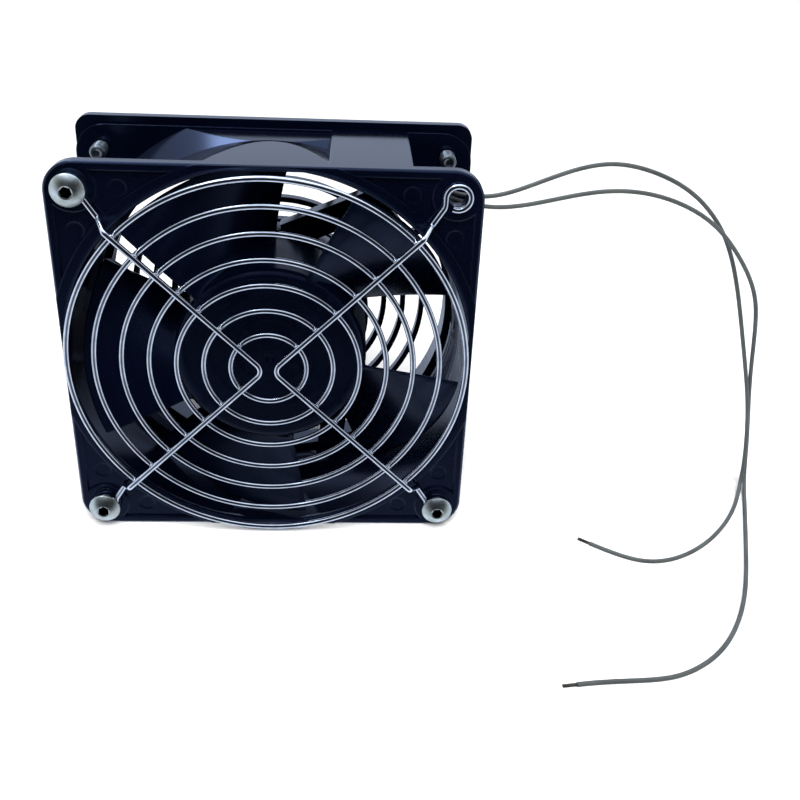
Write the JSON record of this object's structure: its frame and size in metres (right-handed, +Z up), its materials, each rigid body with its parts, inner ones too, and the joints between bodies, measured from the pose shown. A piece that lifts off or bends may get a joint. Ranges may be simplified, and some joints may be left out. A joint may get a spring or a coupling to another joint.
{
  "type": "axial cooling fan",
  "caption": "Square-framed axial cooling fan with a bladed rotor on a shaded-pole motor, wire finger guard in front, ringed grille plate behind and two loose leads.",
  "frame": {"origin": "centre of the base, below the middle of the fan's depth from guard to rear grille", "axes": "+X to the right as seen from the guard, -Y the way the guard faces, +Z up"},
  "size_m": [0.2246, 0.1147, 0.1223],
  "materials": {
    "frame_plastic": "glossy moulded black plastic with a blue cast",
    "grille_plastic": "satin moulded black plastic",
    "impeller_plastic": "glossy moulded blue-black plastic",
    "guard_wire": "bright chrome-plated wire",
    "screw_steel": "zinc-plated steel",
    "nut_steel": "zinc-plated steel",
    "grommet_rubber": "matte black rubber",
    "lead_pvc": "grey PVC insulation",
    "tinned_copper": "twisted bare conductor",
    "tube_brass": "turned brass",
    "bush_bronze": "oil-soaked sintered bronze",
    "felt": "oiled wool felt",
    "lamination_steel": "stacked steel laminations",
    "insulator_nylon": "natural nylon",
    "coil_copper": "enamelled copper winding",
    "bare_copper": "bare copper",
    "insert_brass": "turned brass",
    "cup_steel": "drawn steel",
    "cage_steel": "laminations with cast bars",
    "shaft_steel": "ground steel",
    "washer_nylon": "natural nylon",
    "spring_steel": "blackened spring steel"
  },
  "bodies": {
    "frame": {"housing": "frame_plastic", "rear_grille": "grille_plastic", "guard_rings": "guard_wire", "guard_support_left": "guard_wire", "guard_support_right": "guard_wire", "front_screws": "screw_steel", "rear_screws": "screw_steel", "front_nuts": "nut_steel", "lead_grommet": "grommet_rubber", "lead_a": "lead_pvc", "lead_b": "lead_pvc", "lead_tips": "tinned_copper", "bearing_tube": "tube_brass", "front_bush": "bush_bronze", "rear_bush": "bush_bronze", "oil_felt": "felt", "stator_core": "lamination_steel", "stator_insulators": "insulator_nylon", "stator_coils": "coil_copper", "shading_rings": "bare_copper"},
    "rotor": {"impeller": "impeller_plastic", "hub_insert": "insert_brass", "rotor_cup": "cup_steel", "rotor_cage": "cage_steel", "shaft": "shaft_steel", "front_thrust_washer": "washer_nylon", "rear_thrust_washer": "washer_nylon", "retaining_clip": "spring_steel"}
  },
  "joints": [
    {"name": "impeller_spin", "type": "hinge", "parent": "frame", "child": "rotor", "pos_m": [0, 0, 0.06], "axis": [0, -1, 0], "continuous": true}
  ]
}
